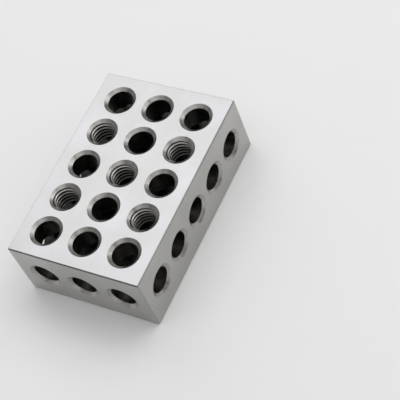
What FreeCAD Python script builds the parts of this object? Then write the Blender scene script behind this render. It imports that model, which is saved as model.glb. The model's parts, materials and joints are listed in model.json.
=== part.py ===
import FreeCAD, Part
import math
import os

# Setup block, 1 x 2 x 3 inches: one piece of hardened steel, ground square on all six faces.
# Through holes run along all three directions on one grid of centre lines, so each hole opens
# into the ones that cross it. Five of the upright holes are tapped and the others are plain.
# Units are millimetres. +X is the length, +Y the width and +Z up. The origin is the centre of
# the bottom face.

inch = 25.4

# Overall size
block_length = 3 * inch
block_width = 2 * inch
block_height = 1 * inch
edge_chamfer = 0.4  # taken off each of the twelve edges, measured along a face

# Grid of centre lines
lines_along = 5  # centre lines spread over the length
lines_across = 3  # centre lines spread over the width
end_margin = 0.4 * inch  # from an end face to the nearest centre line
side_margin = 0.4 * inch  # from a side face to the nearest centre line
cross_height = block_height / 2  # centre height of the holes that lie flat

# Plain holes, 23/64 inch, which let an 8 mm or 5/16 inch bolt through
plain_bore = 23 / 64 * inch
plain_countersink = 1.3  # from the bore out to the rim of its mouth

# Tapped holes, 3/8-16. They are modelled at the tap drill's size, without the thread's turns.
thread_major = 0.375 * inch
thread_pitch = inch / 16
tap_drill = thread_major - thread_pitch
thread_countersink = 0.9  # from the major diameter out to the rim of its mouth

countersink_angle = 110  # degrees, across the cone of every mouth

# How far each cutting shape runs on past the face that it opens
overrun = 1.0


def centre_lines(count, length, margin):
    """Places of count lines, spread evenly over a length with a margin at each end."""
    step = (length - 2 * margin) / (count - 1)
    return [margin - length / 2 + step * place for place in range(count)]


def ground_block():
    """The solid block with its edges chamfered, standing on the XY plane."""
    corner = FreeCAD.Vector(-block_length / 2, -block_width / 2, 0)
    block = Part.makeBox(block_length, block_width, block_height, corner)
    return block.makeChamfer(edge_chamfer, block.Edges)


def through_hole(centre, direction, length, bore, mouth):
    """The space of a hole with a countersink at each end of its length."""
    flare = math.tan(math.radians(countersink_angle / 2))
    bore_radius = bore / 2
    mouth_depth = (mouth - bore) / 2 / flare
    outer_radius = mouth / 2 + overrun * flare
    half = length / 2
    outline = [
        FreeCAD.Vector(0, 0, -half - overrun),
        FreeCAD.Vector(outer_radius, 0, -half - overrun),
        FreeCAD.Vector(bore_radius, 0, -half + mouth_depth),
        FreeCAD.Vector(bore_radius, 0, half - mouth_depth),
        FreeCAD.Vector(outer_radius, 0, half + overrun),
        FreeCAD.Vector(0, 0, half + overrun),
    ]
    profile = Part.Face(Part.makePolygon(outline + outline[:1]))
    upright = FreeCAD.Vector(0, 0, 1)
    space = profile.revolve(FreeCAD.Vector(0, 0, 0), upright, 360)
    space.Placement = FreeCAD.Placement(centre, FreeCAD.Rotation(upright, direction))
    return space


def plain_hole(centre, direction, length):
    """A hole at the plain bore's size."""
    mouth = plain_bore + 2 * plain_countersink
    return through_hole(centre, direction, length, plain_bore, mouth)


def tapped_hole(centre, direction, length):
    """A hole at the tap drill's size, with a mouth wider than its thread."""
    mouth = thread_major + 2 * thread_countersink
    return through_hole(centre, direction, length, tap_drill, mouth)


def is_tapped(along, across):
    """Tapped and plain holes alternate, between end rows that are plain throughout."""
    return 0 < along < lines_along - 1 and (along + across) % 2 == 1


def upright_holes(x_lines, y_lines):
    """The holes through the height, one wherever two centre lines cross."""
    holes = []
    for along, x in enumerate(x_lines):
        for across, y in enumerate(y_lines):
            make_hole = tapped_hole if is_tapped(along, across) else plain_hole
            centre = FreeCAD.Vector(x, y, block_height / 2)
            holes.append(make_hole(centre, FreeCAD.Vector(0, 0, 1), block_height))
    return holes


def crosswise_holes(x_lines):
    """The holes that lie flat and run from side to side."""
    centres = [FreeCAD.Vector(x, 0, cross_height) for x in x_lines]
    return [plain_hole(centre, FreeCAD.Vector(0, 1, 0), block_width) for centre in centres]


def lengthwise_holes(y_lines):
    """The holes that lie flat and run from end to end."""
    centres = [FreeCAD.Vector(0, y, cross_height) for y in y_lines]
    return [plain_hole(centre, FreeCAD.Vector(1, 0, 0), block_length) for centre in centres]


def setup_block():
    """The whole block: the ground body less its 23 holes."""
    x_lines = centre_lines(lines_along, block_length, end_margin)
    y_lines = centre_lines(lines_across, block_width, side_margin)
    holes = upright_holes(x_lines, y_lines) + crosswise_holes(x_lines) + lengthwise_holes(y_lines)
    return ground_block().cut(holes).removeSplitter()


os.makedirs("parts", exist_ok=True)
setup_block().exportStep("parts/setup_block.step")
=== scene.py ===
import json
import math

import bmesh
import bpy
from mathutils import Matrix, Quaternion, Vector


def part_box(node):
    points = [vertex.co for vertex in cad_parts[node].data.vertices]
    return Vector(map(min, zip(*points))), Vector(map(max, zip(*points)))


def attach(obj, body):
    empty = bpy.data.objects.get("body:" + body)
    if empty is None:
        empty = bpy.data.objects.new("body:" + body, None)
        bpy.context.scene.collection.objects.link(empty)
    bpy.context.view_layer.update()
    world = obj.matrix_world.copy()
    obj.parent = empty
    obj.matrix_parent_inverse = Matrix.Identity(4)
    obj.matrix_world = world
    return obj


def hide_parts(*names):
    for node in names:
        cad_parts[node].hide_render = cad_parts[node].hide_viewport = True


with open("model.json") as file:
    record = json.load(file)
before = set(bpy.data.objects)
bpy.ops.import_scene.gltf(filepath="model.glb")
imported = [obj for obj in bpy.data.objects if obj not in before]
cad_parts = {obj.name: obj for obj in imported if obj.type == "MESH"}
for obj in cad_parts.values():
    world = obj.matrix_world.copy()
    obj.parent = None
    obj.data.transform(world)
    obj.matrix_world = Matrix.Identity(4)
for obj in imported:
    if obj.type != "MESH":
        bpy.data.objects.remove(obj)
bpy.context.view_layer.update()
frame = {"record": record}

# A hardened and ground steel setup block with real threads in its tapped holes.
# Metres throughout, in the frame of the CAD model: +X along the block, +Z up.

MM = 0.001
INCH = 25.4 * MM
NODE = "setup_block"

# Form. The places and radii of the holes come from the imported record.
edge_chamfer = 0.4 * MM
countersink_angle = math.radians(110)  # across the cone of every mouth
flare = math.tan(countersink_angle / 2)  # how much a cone's radius grows with each unit along it
thread_major_radius = 0.375 * INCH / 2
thread_pitch = INCH / 16
thread_flank_angle = math.radians(30)
thread_root_flat = thread_pitch / 8
thread_rise = -0.3 * MM  # shift of the helix along its hole, which sets where it opens
thread_spare_turns = 3  # turns beyond the block's height, so that the helix runs out of both faces
overrun = 1.0 * MM  # how far a cutting shape runs on past the face that it opens
bore_segments = 96
thread_segments = 72

# Limits by which a facet of the drilled block is given to a surface.
face_reach = 0.02 * MM  # how near a facet of a flat face or a thread is to its true surface
face_share = 0.999  # least share of such a facet's normal along the face's own
wall_reach = 0.1 * MM  # how near a facet of a bore or a mouth is to its true surface
wall_share = 0.05  # greatest share, along the hole, of the normal of a thread's crest or root
crisp_angle = math.radians(25)  # edges sharper than this are shaded as edges

# Finish of the steel. Each has a light colour, a dark colour and a roughness.
top_finish = (0.66, 0.65, 0.675), (0.6, 0.605, 0.6), 0.34
# The sides and ends take a darker copy of the top's ground steel: painted shade.
side_steel_painted_shade = (0.49, 0.485, 0.47), (0.44, 0.435, 0.42), 0.38
edge_finish = (0.36, 0.355, 0.35), (0.3, 0.295, 0.29), 0.22
mouth_finish = (0.48, 0.47, 0.45), (0.32, 0.31, 0.295), 0.3
bore_finish = (0.12, 0.117, 0.11), (0.04, 0.039, 0.036), 0.5
# Thread colours: the light one is for the crests, with painted light near the faces, and the dark
# one is painted shade in the grooves.
thread_painted_light_and_shade = (0.5, 0.49, 0.47), (0.03, 0.029, 0.027), 0.35

# Noise in the finish. A scale is in cells for each metre, and a range is the part of the noise
# that is spread over a whole blend. A spread is how far the roughness strays to each side. A bump
# is its strength and its height.
noise_roughness = 0.55
noise_range = (0.3, 0.7)
cloud_scale = 55
cloud_range = (0.35, 0.65)
line_scale = 3000
line_length = 60  # how many times longer a grinding line is than it is wide
line_spread = 0.05
line_bump = (0.25, 0.005 * MM)
ring_pitch = 0.16 * MM
ring_detail = 2
ring_range = (0.15, 0.35)
ring_bump = (0.4, 0.02 * MM)
cut_scale = 400
cut_spread = 0.08
thread_scale = 900

# Painted shade in the grooves of the thread, and painted light on its crests that fades with depth.
groove_shade_start = 0.1 * MM  # how far outside the crests the painted shade of a groove begins
groove_shade_full = 0.45 * MM  # how far outside them the painted shade is full
crest_painted_light_depth = 1 * MM  # how deep below a face the crests keep their painted light
crest_painted_shade_depth = 5 * MM  # how deep below it the painted shade on them is full
crest_shade_factor = 0.15  # what is left of their colour there, under the painted shade

# Camera, with angles in degrees. Its lens and sensor are in millimetres.
camera_azimuth = 44.3
camera_elevation = 53.0
camera_roll = 25.0
camera_distance = 0.448
camera_lens = 119.6
camera_sensor = 36
camera_clip = (0.01, 20)
camera_aim = Vector((4.24, -24.26, 12.7)) * MM

# Floor and lights. A softbox has its azimuth and elevation in degrees, its width and its radiance.
floor_reach = 3.0
floor_colours = (0.94, 0.94, 0.94), (0.96, 0.96, 0.96)
floor_roughness = 0.9
floor_scale = 900
floor_detail = 4
world_strength = 0.3
softbox_distance = 1.2
softboxes = {
    "overhead": (0, 88, 1.5, 0.85),
    "right": (110, 55, 0.8, 1.5),
    "low_right": (150, 40, 0.8, 0.6),
    "back": (40, 33, 0.9, 0.85),
}

low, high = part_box(NODE)
low, high = Vector(low), Vector(high)
middle = (low + high) / 2


# ---------------------------------------------------------------- holes

class Hole:
    """One through hole: the axis it runs along, its centre, its bore and its mouths."""

    def __init__(self, mount):
        self.name = mount["name"]
        self.tapped = mount["kind"] == "threaded_hole"
        self.axis = max(range(3), key=lambda k: abs(mount["axis"][k]))
        self.centre = Vector(mount["pos_m"])
        self.centre[self.axis] = middle[self.axis]
        self.radius = mount["dims"]["r_mm"] * MM
        self.half = (high[self.axis] - low[self.axis]) / 2
        self.mouth_depth = self.half - mount["dims"]["length_mm"] * MM / 2
        self.rim_radius = self.radius + self.mouth_depth * flare

    def place(self, across, up, along):
        """A point given across and along the hole, in the block's frame."""
        turned = [(along, across, up), (up, along, across), (across, up, along)][self.axis]
        return self.centre + Vector(turned)

    def around(self, radius, turn, along):
        """A point given by its radius and turn about the hole's axis, in the block's frame."""
        return self.place(radius * math.cos(turn), radius * math.sin(turn), along)

    def split(self, point):
        """How far a point lies along the hole from its centre, and how far out from its axis."""
        offset = point - self.centre
        along = offset[self.axis]
        offset[self.axis] = 0
        return along, offset.length


def read_holes():
    """Every hole that the record states as a round mount."""
    kinds = ("bore", "threaded_hole")
    return [Hole(mount) for mount in frame["record"]["mounts"] if mount["kind"] in kinds]


def hole_spacing(upright):
    """How far apart the lines of upright holes are, along X and along Y."""
    lines = [sorted({round(hole.centre[axis], 6) for hole in upright}) for axis in (0, 1)]
    return [places[1] - places[0] for places in lines]


# ---------------------------------------------------------------- solid shapes

def linked(name, data):
    """A new object in the scene, made from its data."""
    thing = bpy.data.objects.new(name, data)
    bpy.context.scene.collection.objects.link(thing)
    return thing


def mesh_object(name, points, faces):
    """A mesh object made of points and faces."""
    mesh = bpy.data.meshes.new(name)
    mesh.from_pydata([tuple(point) for point in points], [], faces)
    mesh.validate()
    return linked(name, mesh)


def turned_solid(name, hole, outline):
    """A solid turned about a hole's axis, from an outline of (radius, along) that ends on it."""
    first, *rings, last = outline
    points = [hole.place(0, 0, first[1])]
    for radius, along in rings:
        for step in range(bore_segments):
            points.append(hole.around(radius, 2 * math.pi * step / bore_segments, along))
    points.append(hole.place(0, 0, last[1]))
    end = len(points) - 1
    top = 1 + (len(rings) - 1) * bore_segments
    faces = []
    for step in range(bore_segments):
        after = (step + 1) % bore_segments
        faces.append((0, 1 + after, 1 + step))
        for ring in range(len(rings) - 1):
            here = 1 + ring * bore_segments
            there = here + bore_segments
            faces.append((here + step, here + after, there + after, there + step))
        faces.append((top + step, top + after, end))
    return mesh_object(name, points, faces)


def plain_space(hole):
    """The space of a plain hole, with the flare of its two mouths."""
    face_radius = hole.rim_radius + overrun * flare
    wall_end = hole.half - hole.mouth_depth
    face_end = hole.half + overrun
    outline = [
        (0, -face_end),
        (face_radius, -face_end),
        (hole.radius, -wall_end),
        (hole.radius, wall_end),
        (face_radius, face_end),
        (0, face_end),
    ]
    return turned_solid(hole.name + "_space", hole, outline)


def mouth_space(hole, side):
    """The flare of one mouth of a tapped hole, on the side given as 1 or -1."""
    # The cone runs on inward, within the thread's own space, to a small flat end.
    inner_radius = hole.radius / 2
    inner_end = hole.half - hole.mouth_depth - (hole.radius - inner_radius) / flare
    outline = [
        (0, side * inner_end),
        (inner_radius, side * inner_end),
        (hole.rim_radius + overrun * flare, side * (hole.half + overrun)),
        (0, side * (hole.half + overrun)),
    ]
    which = "upper" if side > 0 else "lower"
    return turned_solid(f"{hole.name}_mouth_{which}", hole, outline[::side])


def thread_profile(hole):
    """One pitch of the thread's space as (radius, along): crest, flank, root flat and flank."""
    flank = (thread_major_radius - hole.radius) * math.tan(thread_flank_angle)
    return [
        (hole.radius, 0),
        (thread_major_radius, flank),
        (thread_major_radius, flank + thread_root_flat),
        (hole.radius, 2 * flank + thread_root_flat),
    ]


def thread_space(hole):
    """The space a tap leaves: a right-hand helix of the thread's profile, closed at its ends."""
    profile = thread_profile(hole)
    corners = len(profile)
    turns = math.ceil(2 * hole.half / thread_pitch) + thread_spare_turns
    steps = turns * thread_segments
    start = -turns * thread_pitch / 2 - thread_pitch / 2 + thread_rise
    points = []
    for step in range(steps + 1 + thread_segments):
        # Past the last step, one more turn has the crest alone.
        turn = 2 * math.pi * step / thread_segments
        rise = start + thread_pitch * step / thread_segments
        for radius, along in profile if step <= steps else profile[:1]:
            points.append(hole.around(radius, turn, rise + along))

    def index(step, corner):
        """The number of a point. The corner after the last is the first, one turn on."""
        if corner == corners:
            return index(step + thread_segments, 0)
        if step > steps:
            return steps * corners + corners + step - steps - 1
        return step * corners + corner

    faces = []
    for step in range(steps):
        for corner in range(corners):
            faces.append((index(step, corner), index(step + 1, corner),
                          index(step + 1, corner + 1), index(step, corner + 1)))
    # Each end is a fan from a point on the axis, some pitches on from where its loop begins.
    for end, pitches, flip in ((0, -1, False), (steps, 2, True)):
        loop = [index(end + step, 0) for step in range(thread_segments + 1)]
        loop += [index(end, corner) for corner in range(corners - 1, 0, -1)]
        along = start + thread_pitch * end / thread_segments + pitches * thread_pitch
        points.append(hole.place(0, 0, along))
        centre = len(points) - 1
        for here, there in zip(loop, loop[1:] + loop[:1]):
            faces.append((centre, here, there) if flip else (centre, there, here))
    return mesh_object(hole.name + "_thread", points, faces)


def ground_body():
    """The block before drilling, with its twelve edges chamfered."""
    corners = [(x, y, z) for x in (low.x, high.x) for y in (low.y, high.y) for z in (low.z, high.z)]
    faces = [(0, 1, 3, 2), (4, 6, 7, 5), (0, 4, 5, 1), (2, 3, 7, 6), (0, 2, 6, 4), (1, 5, 7, 3)]
    body = mesh_object("setup_block_body", corners, faces)
    shape = bmesh.new()
    shape.from_mesh(body.data)
    bmesh.ops.bevel(shape, geom=shape.edges[:], offset=edge_chamfer, segments=1, affect="EDGES")
    shape.to_mesh(body.data)
    shape.free()
    return body


def drilled_block(holes):
    """The ground body less every hole, as one closed mesh."""
    body = ground_body()
    spaces = []
    for hole in holes:
        if hole.tapped:
            spaces += [thread_space(hole), mouth_space(hole, 1), mouth_space(hole, -1)]
        else:
            spaces.append(plain_space(hole))
    for space in spaces:
        cut = body.modifiers.new(space.name, "BOOLEAN")
        cut.operation = "DIFFERENCE"
        cut.solver = "MANIFOLD"
        cut.object = space
    shaped = body.evaluated_get(bpy.context.evaluated_depsgraph_get())
    drilled = bpy.data.meshes.new_from_object(shaped)
    body.modifiers.clear()
    body.data = drilled
    for space in spaces:
        bpy.data.objects.remove(space)
    return body


# ---------------------------------------------------------------- materials

def node_material(name, metallic=0):
    """A new material with its node tree, shader and object coordinates."""
    material = bpy.data.materials.new(name)
    material.use_nodes = True
    tree = material.node_tree
    shader = tree.nodes["Principled BSDF"]
    shader.inputs["Metallic"].default_value = metallic
    coordinates = tree.nodes.new("ShaderNodeTexCoord")
    return material, tree, shader, coordinates.outputs["Object"]


def feed(tree, socket, value):
    """Links a node's input to the output given, or sets it to the number or vector given."""
    if isinstance(value, bpy.types.NodeSocket):
        tree.links.new(value, socket)
    else:
        socket.default_value = value


def worked_out(tree, kind, operation, *values):
    """The outputs of a Math or VectorMath node that works on the values in order."""
    node = tree.nodes.new("ShaderNode" + kind)
    node.operation = operation
    for socket, value in zip(node.inputs, values):
        feed(tree, socket, value)
    return node.outputs


def coordinate(tree, place, axis):
    """One coordinate of the given places."""
    apart = tree.nodes.new("ShaderNodeSeparateXYZ")
    tree.links.new(place, apart.inputs["Vector"])
    return apart.outputs[axis]


def noise(tree, place, scale, stretch=(1, 1, 1), detail=3):
    """The value of a noise texture over the given places, drawn out along each axis by stretch."""
    mapping = tree.nodes.new("ShaderNodeMapping")
    mapping.inputs["Scale"].default_value = [scale / length for length in stretch]
    tree.links.new(place, mapping.inputs["Vector"])
    texture = tree.nodes.new("ShaderNodeTexNoise")
    texture.inputs["Scale"].default_value = 1
    texture.inputs["Detail"].default_value = detail
    texture.inputs["Roughness"].default_value = noise_roughness
    tree.links.new(mapping.outputs["Vector"], texture.inputs["Vector"])
    return texture.outputs["Fac"]


def mapped(tree, value, low_in, high_in, low_out=0, high_out=1):
    """A value carried from one range to another, and held within it."""
    node = tree.nodes.new("ShaderNodeMapRange")
    for socket, number in zip(("From Min", "From Max", "To Min", "To Max"),
                              (low_in, high_in, low_out, high_out)):
        node.inputs[socket].default_value = number
    tree.links.new(value, node.inputs["Value"])
    return node.outputs["Result"]


def blended(tree, factor, first, second):
    """A colour between two colours, by a factor."""
    node = tree.nodes.new("ShaderNodeMix")
    node.data_type = "RGBA"
    tree.links.new(factor, node.inputs["Factor"])
    for name, colour in (("A", first), ("B", second)):
        feed(tree, node.inputs[name], (*colour, 1) if isinstance(colour, tuple) else colour)
    return node.outputs["Result"]


def roughened(tree, shader, value, roughness, spread):
    """Roughness on a shader that strays to both sides with a noise value."""
    varied = mapped(tree, value, *noise_range, roughness - spread, roughness + spread)
    tree.links.new(varied, shader.inputs["Roughness"])


def bumped(tree, shader, value, strength, distance):
    """Bump on a shader from a value."""
    node = tree.nodes.new("ShaderNodeBump")
    node.inputs["Strength"].default_value = strength
    node.inputs["Distance"].default_value = distance
    tree.links.new(value, node.inputs["Height"])
    tree.links.new(node.outputs["Normal"], shader.inputs["Normal"])


def ground_steel(name, lay, light, dark, roughness):
    """Surface-ground steel: faint clouds, and fine lines along the axis of the lay."""
    material, tree, shader, place = node_material(name, metallic=1)
    clouds = noise(tree, place, cloud_scale)
    base = blended(tree, mapped(tree, clouds, *cloud_range), dark, light)
    tree.links.new(base, shader.inputs["Base Color"])
    stretch = [line_length if axis == lay else 1 for axis in range(3)]
    lines = noise(tree, place, line_scale, stretch)
    roughened(tree, shader, lines, roughness, line_spread)
    bumped(tree, shader, lines, *line_bump)
    return material


def turned_steel(name, axis, light, dark, roughness):
    """Drilled or countersunk steel: rings round the hole's axis left by the tool."""
    material, tree, shader, place = node_material(name, metallic=1)
    along = coordinate(tree, place, axis)
    texture = tree.nodes.new("ShaderNodeTexNoise")
    texture.noise_dimensions = "1D"
    texture.inputs["Scale"].default_value = 1 / ring_pitch
    texture.inputs["Detail"].default_value = ring_detail
    tree.links.new(along, texture.inputs["W"])
    rings = texture.outputs["Fac"]
    mottle = noise(tree, place, cut_scale)
    mixed = worked_out(tree, "Math", "MULTIPLY", rings, mottle)["Value"]
    base = blended(tree, mapped(tree, mixed, *ring_range), dark, light)
    tree.links.new(base, shader.inputs["Base Color"])
    roughened(tree, shader, mottle, roughness, cut_spread)
    bumped(tree, shader, rings, *ring_bump)
    return material


def shaded_tapped_steel(name, upright, light, dark, roughness):
    """Tapped steel with painted shade: the grooves are painted dark as shade, and the crests are
    painted bright near the faces and dim deeper down, as painted light and shade.
    """
    material, tree, shader, place = node_material(name, metallic=1)
    # The middle upright hole stands on the origin. Places wrapped at the spacing of the holes
    # are therefore places as seen from the axis of the nearest one.
    half_x, half_y = (spacing / 2 for spacing in hole_spacing(upright))
    flat = worked_out(tree, "VectorMath", "MULTIPLY", place, (1, 1, 0))["Vector"]
    wrapped = worked_out(tree, "VectorMath", "WRAP", flat,
                         (half_x, half_y, 1), (-half_x, -half_y, -1))["Vector"]
    out = worked_out(tree, "VectorMath", "LENGTH", wrapped)["Value"]
    crest_radius = next(hole.radius for hole in upright if hole.tapped)
    # Painted shade: the grooves beyond the crests are coloured dark.
    groove = mapped(tree, out, crest_radius + groove_shade_start, crest_radius + groove_shade_full)
    level = worked_out(tree, "Math", "SUBTRACT", coordinate(tree, place, 2), middle.z)["Value"]
    height = worked_out(tree, "Math", "ABSOLUTE", level)["Value"]
    half = high.z - middle.z
    # Painted light and shade: the crests are bright near the faces and dim with depth below them.
    deep = mapped(tree, height, half - crest_painted_light_depth, half - crest_painted_shade_depth)
    crest = blended(tree, deep, light, tuple(crest_shade_factor * part for part in light))
    tree.links.new(blended(tree, groove, crest, dark), shader.inputs["Base Color"])
    roughened(tree, shader, noise(tree, place, thread_scale), roughness, cut_spread)
    return material


def block_materials(holes):
    """Every material of the block by its name, in the order of its slots."""
    materials = {}
    # The sides and ends are given darker steel than the top face, as painted shade.
    for name, lay, finish in (("ground_face", 0, top_finish), ("ground_side_painted_shade", 0, side_steel_painted_shade),
                              ("ground_end_painted_shade", 1, side_steel_painted_shade), ("broken_edge", 0, edge_finish)):
        materials[name] = ground_steel(name, lay, *finish)
    for kind, finish in (("mouth", mouth_finish), ("bore", bore_finish)):
        for axis in range(3):
            name = f"{kind}_{axis}"
            materials[name] = turned_steel(name, axis, *finish)
    upright = [hole for hole in holes if hole.axis == 2]
    materials["thread"] = shaded_tapped_steel("thread", upright, *thread_painted_light_and_shade)
    return materials


def finish_of(centre, normal, holes):
    """The name of the material that a facet of the block takes, from its centre and normal."""
    insets = [min(centre[axis] - low[axis], high[axis] - centre[axis]) for axis in range(3)]
    for axis, name in enumerate(("ground_end_painted_shade", "ground_side_painted_shade", "ground_face")):
        if insets[axis] < face_reach and abs(normal[axis]) > face_share:
            return name
    if sorted(insets)[1] < edge_chamfer:
        return "broken_edge"
    # What is left is the wall of a hole: the nearest bore or mouth, or else a thread.
    best, found = wall_reach, "thread"
    for hole in holes:
        along, out = hole.split(centre)
        if abs(along) > hole.half:
            continue
        into_mouth = abs(along) - (hole.half - hole.mouth_depth)
        slant = abs(normal[hole.axis])
        if hole.tapped and out < thread_major_radius + face_reach and slant < wall_share:
            return "thread"
        if into_mouth > 0:
            off, kind = abs(out - hole.radius - into_mouth * flare), f"mouth_{hole.axis}"
        else:
            # A bore's wall faces straight across it, so a slant counts as up to 1 mm more.
            off, kind = abs(out - hole.radius) + slant * MM, f"bore_{hole.axis}"
        if off < best:
            best, found = off, kind
    return found


def finish_block(body, holes):
    """Gives each face of the block its material, and keeps its edges crisp."""
    materials = block_materials(holes)
    names = list(materials)
    body.data.materials.clear()
    for material in materials.values():
        body.data.materials.append(material)
    for face in body.data.polygons:
        face.material_index = names.index(finish_of(face.center.copy(), face.normal.copy(), holes))
        face.use_smooth = True
    body.data.set_sharp_from_angle(angle=crisp_angle)


# ---------------------------------------------------------------- stage

def direction(azimuth, elevation):
    """The way a camera raised to this elevation looks, with azimuth 0 along +Y and 90 along +X."""
    turn, tilt = math.radians(azimuth), math.radians(elevation)
    level = math.cos(tilt)
    return Vector((math.sin(turn) * level, math.cos(turn) * level, -math.sin(tilt)))


def aim(thing, location, look, roll=0):
    """Puts a camera or a lamp in its place, looking a given way and rolled about it in degrees."""
    thing.location = location
    thing.rotation_mode = "QUATERNION"
    upright = look.to_track_quat("-Z", "Y")
    thing.rotation_quaternion = Quaternion(look, math.radians(roll)) @ upright


def make_camera():
    """The camera, looking down at the block and rolled about its line of sight."""
    data = bpy.data.cameras.new("camera")
    data.lens = camera_lens
    data.sensor_width = camera_sensor
    data.clip_start, data.clip_end = camera_clip
    camera = linked("camera", data)
    look = direction(camera_azimuth, camera_elevation)
    aim(camera, camera_aim - look * camera_distance, look, camera_roll)
    bpy.context.scene.camera = camera


def softbox(name, azimuth, elevation, size, radiance):
    """A square lamp facing the block, seen from it at this azimuth and elevation."""
    data = bpy.data.lights.new(name, "AREA")
    data.shape = "SQUARE"
    data.size = size
    data.energy = radiance * math.pi * size ** 2
    towards = direction(azimuth, -elevation)
    aim(linked(name, data), middle + towards * softbox_distance, -towards)


def make_floor():
    """A wide plain floor under the block."""
    corners = [(-1, -1), (1, -1), (1, 1), (-1, 1)]
    points = [(x * floor_reach, y * floor_reach, low.z) for x, y in corners]
    floor = mesh_object("floor", points, [(0, 1, 2, 3)])
    material, tree, shader, place = node_material("floor_paper")
    shader.inputs["Roughness"].default_value = floor_roughness
    grain = noise(tree, place, floor_scale, detail=floor_detail)
    tree.links.new(blended(tree, grain, *floor_colours), shader.inputs["Base Color"])
    floor.data.materials.append(material)


def make_light():
    """A pale even world and the softboxes."""
    world = bpy.data.worlds.new("world")
    bpy.context.scene.world = world
    world.use_nodes = True
    background = world.node_tree.nodes["Background"]
    background.inputs["Color"].default_value = (1, 1, 1, 1)
    background.inputs["Strength"].default_value = world_strength
    for name, setting in softboxes.items():
        softbox(name, *setting)
    bpy.context.scene.view_settings.view_transform = "Standard"


# ---------------------------------------------------------------- the scene

make_camera()
make_floor()
make_light()
holes = read_holes()
block = drilled_block(holes)
finish_block(block, holes)
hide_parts(NODE)
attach(block, "root")
